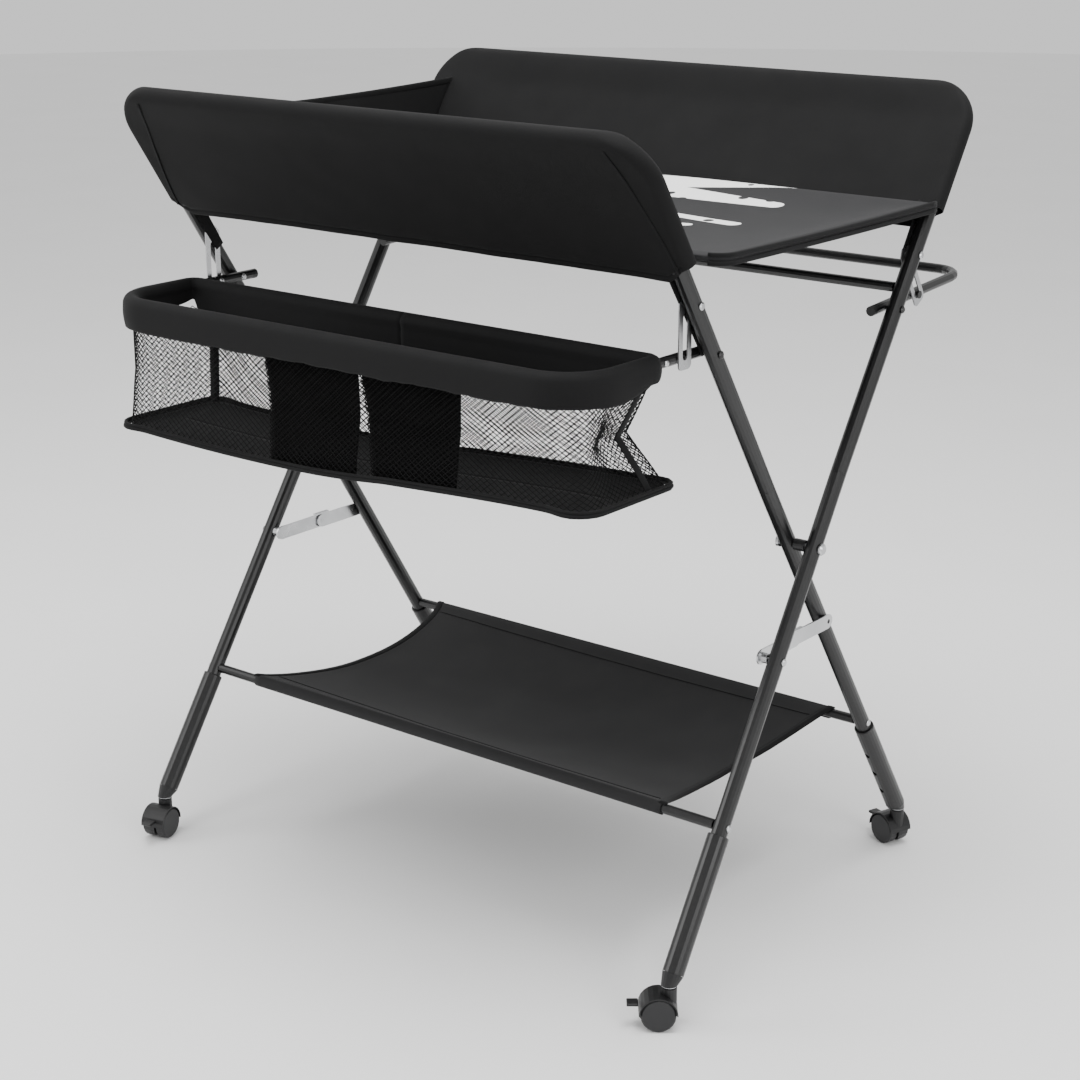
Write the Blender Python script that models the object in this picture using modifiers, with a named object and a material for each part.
"""Folding changing table on casters, with a basket, a towel rail and a shelf.

Metres. X runs along the table, -Y is its front and +Z is up. The origin lies on the ground
under the middle of the pivot line. The outer frame leans to the rear as it rises and the
inner frame leans to the front; they cross at the pivot bolts and fold about them.
"""

from math import atan2, cos, hypot, pi, radians, sin, sqrt, tan

import bmesh
import bpy
from mathutils import Matrix, Vector

# Clearances
FIT = 0.0003
RUNNING = 0.0005
SLEEVE_FIT = 0.0004

# X frame
LEG_LEAN = radians(33.2)
CASTER_HEIGHT = 0.051
FOOT_REACH = 0.520
SEAM_REACH = 0.092
TOP_REACH = 0.582
FOOT_SPREAD = 0.008
OUTER_HALF_WIDTH = 0.400
LEG_GAP = 0.015
LEG_D = 0.019
LEG_WALL = 0.0012
TOP_CORNER_R = 0.055
BAR_D = 0.012
BAR_WALL = 0.001
SHELF_REACH = 0.336
CROSSBAR_REACH = 0.3275
PIVOT_BOLT_D = 0.008
PIVOT_HEAD_D = 0.014
PIVOT_HEAD_T = 0.004
SPACER_D = 0.014

# Feet
SLEEVE_D = 0.025
SLEEVE_TOP_REACH = 0.3465
SLEEVE_END_REACH = 0.507
LEG_END_REACH = 0.487
HOLE_D = 0.0076
HOLE_PITCH = 0.037
HOLE_COUNT = 3
BUTTON_REACH = 0.469
BUTTON_D = 0.0064
BUTTON_LENGTH = 0.0065
BUTTON_TURN = radians(15)
PLUG_STEM_LENGTH = 0.017
PLUG_END_D = 0.019

# Casters
WHEEL_D = 0.040
WHEEL_T = 0.013
CASTER_TRAIL = 0.012
WEB_T = 0.006
HOOD_WALL = 0.0014
BOSS_D = 0.018
STEM_D = 0.008
STEM_LENGTH = 0.011
AXLE_D = 0.005
WASHER_T = 0.002
LEVER_WIDTH = 0.014
LEVER_LENGTH = 0.013
LEVER_T = 0.0035
CASTER_HEADINGS = {
    ("front", "left"): radians(14),
    ("front", "right"): radians(-52),
    ("rear", "left"): radians(200),
    ("rear", "right"): radians(-109),
}

# Basket and towel rail, both pivoted on the upper legs
ARM_PIVOT_REACH = 0.301
LINK_PIVOT_REACH = 0.371
ARM_TAIL = 0.018
BASKET_REACH = 0.213
BASKET_CORNER_R = 0.060
BASKET_BAR_REACH = 0.080
BASKET_PIN_REACH = 0.038
BAG_DEPTH = 0.153
BAG_RISE = 0.011
BAG_WALL = 0.003
RAIL_REACH = 0.202
RAIL_RISE = radians(3.4)
RAIL_CORNER_R = 0.035
RAIL_PIN_REACH = 0.073
CAP_LENGTH = 0.007
STUD_D = 0.005
STUD_HEAD_D = 0.009
STUD_HEAD_T = 0.0025
SLOT_PIN_D = 0.0032
LINK_T = 0.0015
LINK_WIDTH = 0.023
LINK_HEAD = 0.009
LINK_CHAMFER = 0.007
LINK_FOOT_R = 0.006
LINK_TAIL = 0.010
SLOT_WIDTH = 0.009
SLOT_START = 0.010

# Folding braces between the frames
BRACE_REACH = 0.138
BRACE_WIDTH = 0.018
BRACE_T = 0.002
BRACE_BUSH_D = 0.012
FLANGE_REAR = 0.014
FLANGE_FRONT = 0.012

# Fabric, as plain solids
COVER_BOTTOM_REACH = 0.409
COVER_TOP_REACH = 0.596
COVER_WALL = 0.0014
COVER_OVERHANG = {"front": 0.0125, "rear": 0.0085}
COVER_CORNER_R = 0.062
MAT_LEVEL = 0.846
MAT_T = 0.012
MAT_FOOT_END = 0.412
PANEL_TOP_REACH = 0.550
PANEL_T = 0.003
SHELF_HALF_LENGTH = 0.326
SHELF_SAG = 0.030
SHELF_T = 0.003

# Derived places
PIVOT_HEIGHT = CASTER_HEIGHT + FOOT_REACH * cos(LEG_LEAN)
INNER_HALF_WIDTH = OUTER_HALF_WIDTH - LEG_D - LEG_GAP
LEG_R = LEG_D / 2
BAR_R = BAR_D / 2
ARM_INSET = LEG_R + LINK_T + 2 * RUNNING + BAR_R
LINK_INSET = LEG_R + RUNNING + LINK_T / 2
HEAD_END = -(INNER_HALF_WIDTH + OUTER_HALF_WIDTH) / 2
FRAMES = {"outer": (1, OUTER_HALF_WIDTH), "inner": (-1, INNER_HALF_WIDTH)}
SIDES = {"left": -1, "right": 1}
LEG_SIDES = 16
BAR_SIDES = 12
ARC_STEPS = 5
SIDE_PLANE = Matrix(((0, 0, 1, 0), (1, 0, 0, 0), (0, 1, 0, 0), (0, 0, 0, 1)))

FINISHES = {
    "black_steel": ((0.012, 0.012, 0.013), 0.32, 0.4),
    "black_plastic": ((0.012, 0.012, 0.012), 0.5, 0.0),
    "bright_steel": ((0.62, 0.62, 0.63), 0.3, 1.0),
    "black_fabric": ((0.014, 0.014, 0.015), 0.85, 0.0),
    "black_net": ((0.010, 0.010, 0.010), 0.9, 0.0),
}


# Scene and objects


def clear_scene():
    for obj in list(bpy.data.objects):
        bpy.data.objects.remove(obj, do_unlink=True)


def new_collection(name):
    collection = bpy.data.collections.new(name)
    bpy.context.scene.collection.children.link(collection)
    return collection


def paint(obj, finish):
    """Gives the object a material of its own in one of the table's finishes."""
    colour, roughness, metallic = FINISHES[finish]
    material = bpy.data.materials.new(f"{obj.name}_{finish}")
    material.use_nodes = True
    shader = material.node_tree.nodes["Principled BSDF"]
    shader.inputs["Base Color"].default_value = (*colour, 1)
    shader.inputs["Roughness"].default_value = roughness
    shader.inputs["Metallic"].default_value = metallic
    material.diffuse_color = (*colour, 1)
    obj.data.materials.clear()
    obj.data.materials.append(material)


def place(name, data, matrix=None, finish=None):
    """Links new data as a part, or as a cutter where it has no finish."""
    obj = bpy.data.objects.new(name, data)
    obj.matrix_world = matrix or Matrix()
    if finish:
        TABLE.objects.link(obj)
        paint(obj, finish)
    else:
        CUTTERS.objects.link(obj)
        obj.hide_render = True
        obj.display_type = "WIRE"
    return obj


def as_mesh(obj, finish=None):
    """Turns a curve or a Screw profile into a plain closed mesh in its place."""
    name = obj.name
    matrix = obj.matrix_world.copy()
    bpy.context.view_layer.update()
    evaluated = obj.evaluated_get(bpy.context.evaluated_depsgraph_get())
    mesh = bpy.data.meshes.new_from_object(evaluated)
    bpy.data.objects.remove(obj, do_unlink=True)
    shell = bmesh.new()
    shell.from_mesh(mesh)
    bmesh.ops.remove_doubles(shell, verts=shell.verts, dist=1e-6)
    bmesh.ops.recalc_face_normals(shell, faces=shell.faces)
    shell.to_mesh(mesh)
    shell.free()
    mesh.name = name
    mesh.shade_smooth()
    mesh.set_sharp_from_angle(angle=radians(35))
    return place(name, mesh, matrix, finish)


def combine(target, tool, operation):
    modifier = target.modifiers.new(tool.name, "BOOLEAN")
    modifier.operation = operation
    modifier.solver = "EXACT"
    modifier.object = tool


def cut(target, *tools):
    for tool in tools:
        combine(target, tool, "DIFFERENCE")


def join(target, *tools):
    for tool in tools:
        combine(target, tool, "UNION")


# Shapes


def facing(origin, direction):
    """Matrix whose local Z points along direction, from origin."""
    turn = direction.to_track_quat("Z", "Y").to_matrix().to_4x4()
    return Matrix.Translation(origin) @ turn


def rod(name, start, end, radius, finish=None, sides=BAR_SIDES):
    shape = bmesh.new()
    length = (end - start).length
    bmesh.ops.create_cone(
        shape, cap_ends=True, segments=sides, radius1=radius, radius2=radius, depth=length
    )
    mesh = bpy.data.meshes.new(name)
    shape.to_mesh(mesh)
    shape.free()
    mesh.shade_smooth()
    mesh.set_sharp_from_angle(angle=radians(50))
    return place(name, mesh, facing((start + end) / 2, end - start), finish)


def block(name, low, high, matrix=None, finish=None):
    shape = bmesh.new()
    bmesh.ops.create_cube(shape, size=1)
    bmesh.ops.scale(shape, vec=high - low, verts=shape.verts)
    bmesh.ops.translate(shape, vec=(low + high) / 2, verts=shape.verts)
    mesh = bpy.data.meshes.new(name)
    shape.to_mesh(mesh)
    shape.free()
    return place(name, mesh, matrix, finish)


def turned(name, profile, matrix, finish=None, steps=24, ring=False):
    """Turns a profile of (radius, height) points, listed down its outer side, about local Z."""
    mesh = bpy.data.meshes.new(name)
    points = [(radius, 0, height) for radius, height in profile]
    edges = [(i, i + 1) for i in range(len(points) - 1)]
    if ring:
        edges.append((len(points) - 1, 0))
    mesh.from_pydata(points, edges, [])
    obj = place(name, mesh, matrix)
    screw = obj.modifiers.new("turn", "SCREW")
    screw.steps = steps
    screw.render_steps = steps
    screw.use_merge_vertices = True
    screw.merge_threshold = 0.00001
    return as_mesh(obj, finish)


def rounded_path(corners, radius, steps=ARC_STEPS):
    """Points along straight runs whose inner corners are arcs of the given radius."""
    points = [corners[0]]
    for before, corner, after in zip(corners, corners[1:], corners[2:]):
        back = (before - corner).normalized()
        ahead = (after - corner).normalized()
        half = back.angle(ahead) / 2
        centre = corner + (back + ahead).normalized() * radius / sin(half)
        first = (corner + back * radius / tan(half) - centre).normalized()
        last = (corner + ahead * radius / tan(half) - centre).normalized()
        points += [centre + first.slerp(last, i / steps) * radius for i in range(steps + 1)]
    return points + [corners[-1]]


def run(name, points, radius, sides, finish=None):
    """A round bar along the points, as a mesh."""
    curve = bpy.data.curves.new(name, "CURVE")
    curve.dimensions = "3D"
    curve.bevel_depth = radius
    curve.bevel_resolution = (sides - 4) // 2
    curve.use_fill_caps = True
    spline = curve.splines.new("POLY")
    spline.points.add(len(points) - 1)
    for knot, point in zip(spline.points, points):
        knot.co = (*point, 1)
    return as_mesh(place(name, curve), finish)


def tube(name, points, diameter, wall, finish, sides):
    """A bent tube, open at both ends."""
    body = run(name, points, diameter / 2, sides, finish)
    past = 0.002
    ends = [points[0] - (points[1] - points[0]).normalized() * past]
    ends += points[1:-1]
    ends.append(points[-1] + (points[-1] - points[-2]).normalized() * past)
    cut(body, run(f"{name}_inside", ends, diameter / 2 - wall, sides // 2 + sides % 4))
    return body


def arc(x, y, radius, start, end, steps=ARC_STEPS):
    """Points on an arc between two angles in degrees."""
    angles = [radians(start + (end - start) * i / steps) for i in range(steps + 1)]
    return [(x + radius * cos(a), y + radius * sin(a)) for a in angles]


def plate(name, outlines, thickness, matrix, finish=None):
    """A flat plate centred on local Z = 0: the first outline is its edge, the rest are holes."""
    curve = bpy.data.curves.new(name, "CURVE")
    curve.dimensions = "2D"
    curve.fill_mode = "BOTH"
    curve.extrude = thickness / 2
    for outline in outlines:
        spline = curve.splines.new("POLY")
        spline.points.add(len(outline) - 1)
        spline.use_cyclic_u = True
        for knot, (x, y) in zip(spline.points, outline):
            knot.co = (x, y, 0, 1)
    return as_mesh(place(name, curve, matrix), finish)


def slot_outline(start, end, width):
    """A round-ended slot along local Y, between the centres of its ends."""
    return arc(0, end, width / 2, 0, 180) + arc(0, start, width / 2, 180, 360)


# Places on the frames


def leg_point(frame, reach, side=0):
    """A point on a leg's middle line: reach is measured up from the pivot, along the leg."""
    lean, half_width = FRAMES[frame]
    below_seam = max(0.0, SEAM_REACH - reach) / (SEAM_REACH + FOOT_REACH)
    return Vector(
        (
            side * (half_width + FOOT_SPREAD * below_seam),
            lean * reach * sin(LEG_LEAN),
            PIVOT_HEIGHT + reach * cos(LEG_LEAN),
        )
    )


def leg_down(frame, side):
    """Direction down a lower leg."""
    return (leg_point(frame, -FOOT_REACH, side) - leg_point(frame, 0, side)).normalized()


def button_direction(frame, side):
    """Out of the leg's underside, square to the leg, turned a little to the table's middle."""
    down = leg_down(frame, side)
    across = Vector((1, 0, 0))
    across = (across - down * across.dot(down)).normalized()
    under = across.cross(down)
    if under.z > 0:
        under = -under
    return (under * cos(BUTTON_TURN) - across * side * sin(BUTTON_TURN)).normalized()


def sideways(point, x):
    return Vector((x, point.y, point.z))


def joint(name, location, parent=None):
    """An empty on a joint's axis."""
    empty = bpy.data.objects.new(f"{name}_axis", None)
    empty.empty_display_size = 0.03
    TABLE.objects.link(empty)
    if parent:
        empty.parent = parent
        empty.matrix_parent_inverse = parent.matrix_world.inverted()
    empty.matrix_world = Matrix.Translation(location)
    bpy.context.view_layer.update()
    return empty


def carry(empty, *objects):
    for obj in objects:
        matrix = obj.matrix_world.copy()
        obj.parent = empty
        obj.matrix_parent_inverse = empty.matrix_world.inverted()
        obj.matrix_world = matrix


# The two folding frames


def drill(target, tag, point, diameter, half_length):
    """Cuts a bore through the target along X."""
    reach = Vector((half_length, 0, 0))
    cut(target, rod(f"{target.name}_{tag}", point - reach, point + reach, diameter / 2 + FIT))


def top_tube(frame):
    seam_left, seam_right = (leg_point(frame, SEAM_REACH, side) for side in (-1, 1))
    top_left, top_right = (leg_point(frame, TOP_REACH, side) for side in (-1, 1))
    path = rounded_path([seam_left, top_left, top_right, seam_right], TOP_CORNER_R)
    body = tube(f"{frame}_top_tube", path, LEG_D, LEG_WALL, "black_steel", LEG_SIDES)
    for name, side in SIDES.items():
        for tag, reach in (("arm", ARM_PIVOT_REACH), ("link", LINK_PIVOT_REACH)):
            drill(body, f"{tag}_bore_{name}", leg_point(frame, reach, side), STUD_D, LEG_D)
    return body


def lower_leg(frame, name, side):
    top = leg_point(frame, SEAM_REACH, side) + leg_down(frame, side) * FIT
    end = leg_point(frame, -LEG_END_REACH, side)
    body = tube(f"{frame}_lower_leg_{name}", [top, end], LEG_D, LEG_WALL, "black_steel", LEG_SIDES)
    drill(body, "pivot_bore", leg_point(frame, 0, side), PIVOT_BOLT_D, LEG_D)
    if frame == "outer":
        drill(body, "brace_bore", leg_point(frame, -BRACE_REACH, side), STUD_D, LEG_D)
    start = leg_point(frame, -BUTTON_REACH, side)
    way_out = button_direction(frame, side) * LEG_D
    cut(body, rod(f"{body.name}_button_bore", start, start + way_out, BUTTON_D / 2 + FIT))
    return body


def cross_bar(name, frame, reach):
    """A straight bar between a frame's two legs."""
    left, right = (leg_point(frame, reach, side) for side in (-1, 1))
    inset = Vector((LEG_R + FIT, 0, 0))
    return tube(name, [left + inset, right - inset], BAR_D, BAR_WALL, "black_steel", BAR_SIDES)


def pivot_fasteners(name, side):
    """The bolt that the legs of one side fold on, and the spacer between them."""
    outer = leg_point("outer", 0, side).x
    inner = leg_point("inner", 0, side).x
    along = facing(Vector((0, 0, PIVOT_HEIGHT)), Vector((side, 0, 0)))
    out_face = abs(outer) + LEG_R + FIT
    in_face = abs(inner) - LEG_R - FIT
    head, shank = PIVOT_HEAD_D / 2, PIVOT_BOLT_D / 2
    bolt = [
        (0, out_face + PIVOT_HEAD_T),
        (head * 0.7, out_face + PIVOT_HEAD_T),
        (head, out_face + PIVOT_HEAD_T / 2),
        (head, out_face),
        (shank, out_face),
        (shank, in_face),
        (head, in_face),
        (head, in_face - PIVOT_HEAD_T),
        (0, in_face - PIVOT_HEAD_T),
    ]
    turned(f"pivot_bolt_{name}", bolt, along, "bright_steel", 16)
    spacer_top = abs(outer) - LEG_R - FIT
    spacer_foot = abs(inner) + LEG_R + FIT
    ring = [
        (shank + FIT, spacer_top),
        (SPACER_D / 2, spacer_top),
        (SPACER_D / 2, spacer_foot),
        (shank + FIT, spacer_foot),
    ]
    turned(f"pivot_spacer_{name}", ring, along, "black_plastic", 16, ring=True)


# Feet and casters


def leg_sleeve(tag, frame, side):
    top = leg_point(frame, -SLEEVE_TOP_REACH, side)
    end = leg_point(frame, -SLEEVE_END_REACH, side)
    length = (end - top).length
    outside, inside, edge = SLEEVE_D / 2, LEG_R + SLEEVE_FIT, 0.001
    ring = [
        (inside, length),
        (outside - edge, length),
        (outside, length - edge),
        (outside, 0),
        (inside, 0),
    ]
    body = turned(f"leg_sleeve_{tag}", ring, facing(end, top - end), "black_steel", 20, ring=True)
    for index in range(HOLE_COUNT):
        start = leg_point(frame, HOLE_PITCH * index - BUTTON_REACH, side)
        way_out = button_direction(frame, side) * SLEEVE_D
        cut(body, rod(f"{body.name}_hole_{index}", start, start + way_out, HOLE_D / 2))
    return body


def lock_button(tag, frame, side):
    """Its flat crown stays clear of the sleeve's bore, so the sleeve can slide over it."""
    out = button_direction(frame, side)
    sleeve_clear = LEG_R + SLEEVE_FIT - FIT
    crown_out = sqrt(sleeve_clear**2 - (BUTTON_D / 2) ** 2)
    crown = leg_point(frame, -BUTTON_REACH, side) + out * crown_out
    root = crown - out * BUTTON_LENGTH
    return rod(f"lock_button_{tag}", root, crown, BUTTON_D / 2, "bright_steel")


def end_plug(tag, frame, side):
    """Closes the sleeve and turns from the leg's slope to the caster's upright stem."""
    foot = leg_point(frame, -FOOT_REACH, side)
    up = -leg_down(frame, side)
    shoulder = leg_point(frame, -SLEEVE_END_REACH, side) - up * FIT
    seat = foot + Vector((0, 0, WASHER_T / 4))
    shape = bmesh.new()
    upright = Vector((0, 0, 1))
    for middle, axis, diameter in ((shoulder, up, SLEEVE_D), (seat, upright, PLUG_END_D)):
        bmesh.ops.create_circle(shape, segments=20, radius=diameter / 2, matrix=facing(middle, axis))
    bmesh.ops.convex_hull(shape, input=shape.verts)
    mesh = bpy.data.meshes.new(f"end_plug_{tag}")
    shape.to_mesh(mesh)
    shape.free()
    body = place(f"end_plug_{tag}", mesh, finish="black_plastic")
    inside = LEG_R + SLEEVE_FIT - FIT
    stem_top = shoulder + up * PLUG_STEM_LENGTH
    join(body, rod(f"{body.name}_stem", shoulder - up * FIT, stem_top, inside))
    bore_top = seat + Vector((0, 0, STEM_LENGTH))
    bore_foot = foot - Vector((0, 0, WASHER_T))
    cut(body, rod(f"{body.name}_bore", bore_foot, bore_top, STEM_D / 2 + FIT))
    return body


def caster(tag, foot, heading):
    """Hood, twin wheel and brake lever of one caster, built facing -Y and turned to its heading."""
    frame = Matrix.Translation((foot.x, foot.y, 0)) @ Matrix.Rotation(heading, 4, "Z")
    wheel_r = WHEEL_D / 2
    axle = Vector((0, -CASTER_TRAIL, wheel_r))
    across = Vector((1, 0, 0))
    room_r = wheel_r + FIT * 2
    hood_r = room_r + HOOD_WALL
    half = WEB_T / 2 + WHEEL_T + FIT * 2
    top = CASTER_HEIGHT - WASHER_T
    wheel_inner = WEB_T / 2 + FIT * 2
    wheel_outer = half
    name = f"caster_hood_{tag}"

    def local_rod(part, start, end, radius, sides=BAR_SIDES, finish=None):
        return rod(part, frame @ start, frame @ end, radius, finish, sides)

    hood = local_rod(name, axle - across * half, axle + across * half, hood_r, 24, "black_plastic")
    boss_foot = Vector((0, 0, wheel_r))
    stem_top = Vector((0, 0, foot.z + STEM_LENGTH - WASHER_T))
    join(
        hood,
        local_rod(f"{name}_boss", boss_foot, Vector((0, 0, top)), BOSS_D / 2, 16),
        local_rod(f"{name}_stem", boss_foot, stem_top, STEM_D / 2),
    )
    for side in (-1, 1):
        near = axle + across * side * WEB_T / 2
        far = axle + across * side * half * 2
        cut(hood, local_rod(f"{name}_room_{side + 1}", near, far, room_r, 24))
        low = Vector((min(near.x, far.x), -2 * WHEEL_D, -WHEEL_D))
        high = Vector((max(near.x, far.x), 2 * WHEEL_D, wheel_r))
        cut(hood, block(f"{name}_open_{side + 1}", low, high, frame))
    below = Vector((WEB_T, 2 * WHEEL_D, wheel_r / 2))
    cut(
        hood,
        block(f"{name}_under", Vector((-WEB_T, -2 * WHEEL_D, -WHEEL_D)), below, frame),
        local_rod(f"{name}_axle_bore", axle - across * half, axle + across * half, AXLE_D / 2 + FIT),
    )
    rim = 0.002
    wheel = [
        (0, wheel_outer),
        (wheel_r - rim, wheel_outer),
        (wheel_r, wheel_outer - rim),
        (wheel_r, wheel_inner + rim / 2),
        (wheel_r - rim / 2, wheel_inner),
        (AXLE_D / 2, wheel_inner),
    ]
    wheel += [(radius, -height) for radius, height in reversed(wheel)]
    along = frame @ facing(axle, across)
    wheels = turned(f"caster_wheels_{tag}", wheel, along, "black_plastic", 20)

    hinge = axle + Vector((0, -(hood_r + FIT), wheel_r * 0.45))
    low = hinge + Vector((-LEVER_WIDTH / 2, -LEVER_LENGTH, -LEVER_T / 2))
    high = hinge + Vector((LEVER_WIDTH / 2, 0, LEVER_T / 2))
    lever = block(f"brake_lever_{tag}", low, high, frame, "black_plastic")
    bevel = lever.modifiers.new("soft_edges", "BEVEL")
    bevel.width = 0.0008
    bevel.segments = 1
    return hood, wheels, lever, frame @ axle, frame @ hinge


def foot_assembly(frame, frame_axis, end, name, side):
    tag = f"{end}_{name}"
    foot = leg_point(frame, -FOOT_REACH, side)
    sleeve = leg_sleeve(tag, frame, side)
    plug = end_plug(tag, frame, side)
    button = lock_button(tag, frame, side)
    hood, wheels, lever, axle, hinge = caster(tag, foot, CASTER_HEADINGS[end, name])
    sleeve_axis = joint(f"sleeve_slide_{tag}", leg_point(frame, -SLEEVE_TOP_REACH, side), frame_axis)
    swivel = joint(f"caster_swivel_{tag}", foot, sleeve_axis)
    carry(joint(f"button_slide_{tag}", leg_point(frame, -BUTTON_REACH, side), frame_axis), button)
    carry(sleeve_axis, sleeve, plug)
    carry(swivel, hood)
    carry(joint(f"wheel_spin_{tag}", axle, swivel), wheels)
    carry(joint(f"brake_hinge_{tag}", hinge, swivel), lever)


# Slotted links, basket and towel rail


def stud(name, start_x, end_x, point, side):
    """A bolt along X from inside a piece out to its head, which lies past end_x."""
    profile = [
        (0, end_x + STUD_HEAD_T),
        (STUD_HEAD_D / 3, end_x + STUD_HEAD_T),
        (STUD_HEAD_D / 2, end_x + STUD_HEAD_T / 2),
        (STUD_HEAD_D / 2, end_x + FIT),
        (STUD_D / 2, end_x + FIT),
        (STUD_D / 2, start_x),
        (0, start_x),
    ]
    along = facing(sideways(point, 0), Vector((side, 0, 0)))
    return turned(name, profile, along, None, BAR_SIDES)


def slotted_link(name, frame, side, pin):
    """Hangs from its bolt on the leg, with the arm's pin near the far end of its slot."""
    pivot = leg_point(frame, LINK_PIVOT_REACH, side)
    half_width = FRAMES[frame][1]
    slot_end = hypot(pin.y - pivot.y, pin.z - pivot.z) + SLOT_PIN_D / 2 + RUNNING
    half, foot_r = LINK_WIDTH / 2, LINK_FOOT_R
    low = -(slot_end + LINK_TAIL)
    edge = arc(-half + foot_r, low + foot_r, foot_r, 180, 270)
    edge += arc(half - foot_r, low + foot_r, foot_r, 270, 360)
    edge += [(half, LINK_HEAD - LINK_CHAMFER), (half - LINK_CHAMFER, LINK_HEAD)]
    edge += [(-half + LINK_CHAMFER, LINK_HEAD), (-half, LINK_HEAD - LINK_CHAMFER)]
    slot = slot_outline(-slot_end + SLOT_WIDTH / 2, -SLOT_START - SLOT_WIDTH / 2, SLOT_WIDTH)
    slant = atan2(pin.y - pivot.y, pivot.z - pin.z)
    middle = sideways(pivot, side * (half_width - LINK_INSET))
    matrix = Matrix.Translation(middle) @ SIDE_PLANE @ Matrix.Rotation(slant, 4, "Z")
    body = plate(name, [edge, slot], LINK_T, matrix, "bright_steel")
    inner_face = half_width - LINK_INSET - LINK_T / 4
    join(body, stud(f"{name}_bolt", inner_face, half_width + LEG_R, pivot, side))
    return body


def arm_fittings(body, frame, name, side, pivot, pin, pin_head):
    """The arm's pivot bolt through the leg and its pin in the link's slot."""
    half_width = FRAMES[frame][1]
    far_wall = half_width - ARM_INSET - BAR_R + BAR_WALL / 2
    join(body, stud(f"{body.name}_bolt_{name}", far_wall, half_width + LEG_R, pivot, side))
    face = half_width - LEG_R
    start = sideways(pin, side * far_wall)
    join(body, rod(f"{body.name}_pin_{name}", start, sideways(pin, side * face), SLOT_PIN_D / 2))
    if pin_head:
        under = face - RUNNING + FIT
        head = sideways(pin, side * under), sideways(pin, side * (under + STUD_HEAD_T))
        join(body, rod(f"{body.name}_pin_head_{name}", *head, STUD_HEAD_D / 2 + FIT))


def end_cap(name, end, direction):
    start = end + direction * FIT
    return rod(name, start, start + direction * CAP_LENGTH, BAR_R, "black_plastic")


def arm_path(frame, reach, rise, corner_r):
    """A bar's path from its left free end, round its two far corners, to its right free end."""
    lean, half_width = FRAMES[frame]
    out = Vector((0, lean * cos(rise), sin(rise)))
    height = leg_point(frame, ARM_PIVOT_REACH)
    left, right = (sideways(height, side * (half_width - ARM_INSET)) for side in (-1, 1))
    corners = [left - out * ARM_TAIL, left + out * reach]
    corners += [right + out * reach, right - out * ARM_TAIL]
    return rounded_path(corners, corner_r), (left, right), out


def swing_frame(name, frame, frame_axis, reach, rise, corner_r, pin_reach, pin_head):
    """A U-shaped bar on two arms, with its bolts, pins, caps and slotted links."""
    path, pivots, out = arm_path(frame, reach, rise, corner_r)
    body = tube(name, path, BAR_D, BAR_WALL, "black_steel", BAR_SIDES)
    axis = joint(f"{name}_swing", leg_point(frame, ARM_PIVOT_REACH), frame_axis)
    short = name.split("_")[0]
    for (side_name, side), pivot in zip(SIDES.items(), pivots):
        pin = pivot + out * pin_reach
        arm_fittings(body, frame, side_name, side, pivot, pin, pin_head)
        cap = end_cap(f"{short}_end_cap_{side_name}", pivot - out * ARM_TAIL, -out)
        carry(axis, cap)
        link = slotted_link(f"{short}_link_{side_name}", frame, side, pin)
        link_pivot = leg_point(frame, LINK_PIVOT_REACH)
        carry(joint(f"{short}_link_swing_{side_name}", link_pivot, frame_axis), link)
    carry(axis, body)
    return axis


def basket(frame_axis):
    axis = swing_frame(
        "basket_rim", "inner", frame_axis, BASKET_REACH, 0, BASKET_CORNER_R, BASKET_PIN_REACH, False
    )
    pivot = leg_point("inner", ARM_PIVOT_REACH)
    half_length = INNER_HALF_WIDTH - ARM_INSET - BAR_R - FIT
    bar_y = pivot.y - BASKET_BAR_REACH
    ends = [Vector((-half_length, bar_y, pivot.z)), Vector((half_length, bar_y, pivot.z))]
    rear_bar = tube("basket_rear_bar", ends, BAR_D, BAR_WALL, "black_steel", BAR_SIDES)

    half = half_length - RUNNING
    front = pivot.y - BASKET_REACH + BAR_R + RUNNING
    rear = bar_y - BAR_R - RUNNING
    corner = BASKET_CORNER_R - BAR_R - RUNNING

    def outline(inset):
        x, y, r = half - inset, front + inset, corner - inset
        edge = [(-x, rear - inset)]
        edge += arc(-x + r, y + r, r, 180, 270) + arc(x - r, y + r, r, 270, 360)
        return edge + [(x, rear - inset)]

    depth = BAG_DEPTH + BAG_RISE
    middle = pivot.z + (BAG_RISE - BAG_DEPTH) / 2
    bag = plate("basket_bag", [outline(0)], depth, Matrix.Translation((0, 0, middle)), "black_net")
    hollow = Matrix.Translation((0, 0, middle + BAG_WALL))
    cut(bag, plate("basket_bag_inside", [outline(BAG_WALL)], depth + FIT, hollow))
    carry(axis, rear_bar, bag)


# Folding braces


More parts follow.
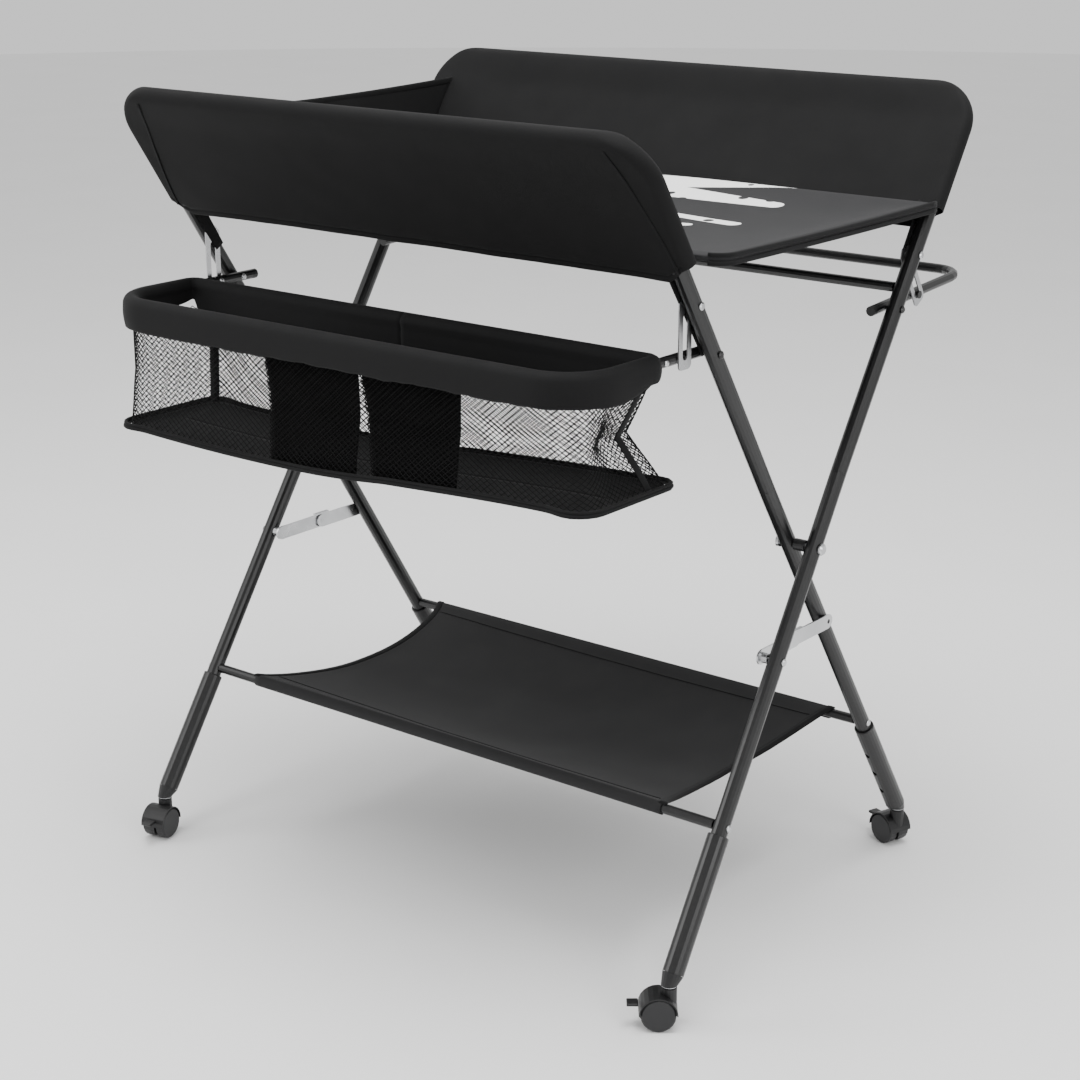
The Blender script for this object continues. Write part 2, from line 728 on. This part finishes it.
def brace_pair(name, side):
    """Two flat bars between the frames of one side, which fold upward at their middle pivot."""
    front_end = leg_point("outer", -BRACE_REACH, side)
    rear_end = leg_point("inner", -BRACE_REACH, side)
    middle = (front_end + rear_end) / 2
    length = abs(middle.y - front_end.y)
    gap_start = abs(rear_end.x) + LEG_R
    rear_x = gap_start + RUNNING + BRACE_T / 2
    front_x = rear_x + BRACE_T + RUNNING
    half = BRACE_WIDTH / 2

    def bar(part, x, start_y, pin_holes):
        edge = arc(length, 0, half, -90, 90) + arc(0, 0, half, 90, 270)
        holes = [arc(y, 0, STUD_D / 2 + FIT, 0, 324, 9) for y in pin_holes]
        matrix = Matrix.Translation((side * x, start_y, middle.z)) @ SIDE_PLANE
        return plate(part, [edge, *holes], BRACE_T, matrix, "bright_steel")

    front = bar(f"brace_front_link_{name}", front_x, front_end.y, [])
    face = front_x + BRACE_T / 4
    leg_face = abs(front_end.x) + LEG_R
    join(front, stud(f"{front.name}_bolt", face, leg_face, front_end, side))
    bush_end = sideways(front_end, side * (abs(front_end.x) - LEG_R - FIT))
    bush_start = sideways(front_end, side * face)
    join(front, rod(f"{front.name}_bush", bush_start, bush_end, BRACE_BUSH_D / 2))
    rivet = [sideways(middle, side * x) for x in (rear_x - BRACE_T / 2, front_x)]
    join(front, rod(f"{front.name}_rivet", *rivet, STUD_D / 2))

    rear = bar(f"brace_rear_link_{name}", rear_x, middle.y, [0, length])
    low = Vector((rear_x - BRACE_T / 2, middle.y, middle.z + half - BRACE_T))
    high = low + Vector((BRACE_T, FLANGE_REAR, 2 * BRACE_T + RUNNING))
    web = block(f"{rear.name}_web", low, high)
    flange_low = Vector((low.x, middle.y - FLANGE_FRONT, middle.z + half + RUNNING))
    flange_end = front_x + BRACE_T / 2 + RUNNING
    flange_high = Vector((flange_end, middle.y + FLANGE_REAR, flange_low.z + BRACE_T))
    flange = block(f"{rear.name}_flange", flange_low, flange_high)
    if side < 0:
        for tool in (web, flange):
            tool.matrix_world = Matrix.Rotation(pi, 4, "Z") @ Matrix.Scale(-1, 4, (0, 1, 0))
            tool.data.flip_normals()
    join(rear, web, flange)

    front_axis = joint(f"brace_front_{name}", sideways(front_end, 0))
    rear_axis = joint(f"brace_rear_{name}", sideways(middle, 0), front_axis)
    carry(front_axis, front)
    carry(rear_axis, rear)


# Fabric solids


def guard_cover(end, frame):
    """The fabric guard over the top of one frame, with a tunnel for the frame's tube."""
    lean, half_width = FRAMES[frame]
    half = half_width + LEG_R + COVER_OVERHANG[end]
    r = COVER_CORNER_R
    edge = [(-half, COVER_BOTTOM_REACH), (half, COVER_BOTTOM_REACH)]
    edge += arc(half - r, COVER_TOP_REACH - r, r, 0, 90)
    edge += arc(-half + r, COVER_TOP_REACH - r, r, 90, 180)
    turn = Matrix.Rotation(pi / 2 - lean * LEG_LEAN, 4, "X")
    matrix = Matrix.Translation((0, 0, PIVOT_HEIGHT)) @ turn
    thickness = LEG_D + 2 * (SLEEVE_FIT + COVER_WALL)
    body = plate(f"{end}_guard_cover", [edge], thickness, matrix, "black_fabric")
    feet = [leg_point(frame, LINK_PIVOT_REACH, side) for side in (-1, 1)]
    tops = [leg_point(frame, TOP_REACH, side) for side in (-1, 1)]
    path = rounded_path([feet[0], tops[0], tops[1], feet[1]], TOP_CORNER_R)
    cut(body, run(f"{body.name}_tunnel", path, LEG_R + SLEEVE_FIT, LEG_SIDES))
    return body


def guard_inner_face(height):
    """How far from the middle the inner face of a guard cover lies at this height."""
    half_thickness = (LEG_R + SLEEVE_FIT + COVER_WALL) / cos(LEG_LEAN)
    return (height - PIVOT_HEIGHT) * tan(LEG_LEAN) - half_thickness - RUNNING


def mat():
    reach = guard_inner_face(MAT_LEVEL)
    low = Vector((HEAD_END + PANEL_T / 2 + RUNNING, -reach, MAT_LEVEL))
    high = Vector((MAT_FOOT_END, reach, MAT_LEVEL + MAT_T))
    return block("mat", low, high, None, "black_fabric")


def end_panel():
    """Closes the head end between the two guards, past the end of the mat."""
    foot = MAT_LEVEL
    top = PIVOT_HEIGHT + PANEL_TOP_REACH * cos(LEG_LEAN)
    low, high = guard_inner_face(foot), guard_inner_face(top)
    edge = [(-low, foot), (low, foot), (high, top), (-high, top)]
    matrix = Matrix.Translation((HEAD_END, 0, 0)) @ SIDE_PLANE
    return plate("end_panel", [edge], PANEL_T, matrix, "black_fabric")


def shelf_fabric():
    bar = leg_point("inner", -SHELF_REACH)
    reach = bar.y - BAR_R - RUNNING
    steps = 12
    ys = [reach * (2 * i / steps - 1) for i in range(steps + 1)]

    def sheet(offset):
        return [(y, bar.z + offset - SHELF_SAG * (1 - (y / reach) ** 2)) for y in ys]

    edge = sheet(-SHELF_T / 2) + list(reversed(sheet(SHELF_T / 2)))
    return plate("shelf_fabric", [edge], 2 * SHELF_HALF_LENGTH, SIDE_PLANE, "black_fabric")


clear_scene()
TABLE = new_collection("changing_table")
CUTTERS = new_collection("cutters")

FOLD_AXIS = joint("fold", Vector((0, 0, PIVOT_HEIGHT)))
for frame_name in FRAMES:
    moving = [top_tube(frame_name), cross_bar(f"{frame_name}_shelf_bar", frame_name, -SHELF_REACH)]
    moving += [lower_leg(frame_name, *pair) for pair in SIDES.items()]
    if frame_name == "inner":
        carry(FOLD_AXIS, *moving)
cross_bar("outer_crossbar", "outer", CROSSBAR_REACH)

for side_name, side_sign in SIDES.items():
    pivot_fasteners(side_name, side_sign)
    brace_pair(side_name, side_sign)
    foot_assembly("outer", None, "front", side_name, side_sign)
    foot_assembly("inner", FOLD_AXIS, "rear", side_name, side_sign)

basket(FOLD_AXIS)
swing_frame("rail", "outer", None, RAIL_REACH, RAIL_RISE, RAIL_CORNER_R, RAIL_PIN_REACH, True)

carry(FOLD_AXIS, guard_cover("front", "inner"))
guard_cover("rear", "outer")
mat()
end_panel()
shelf_fabric()
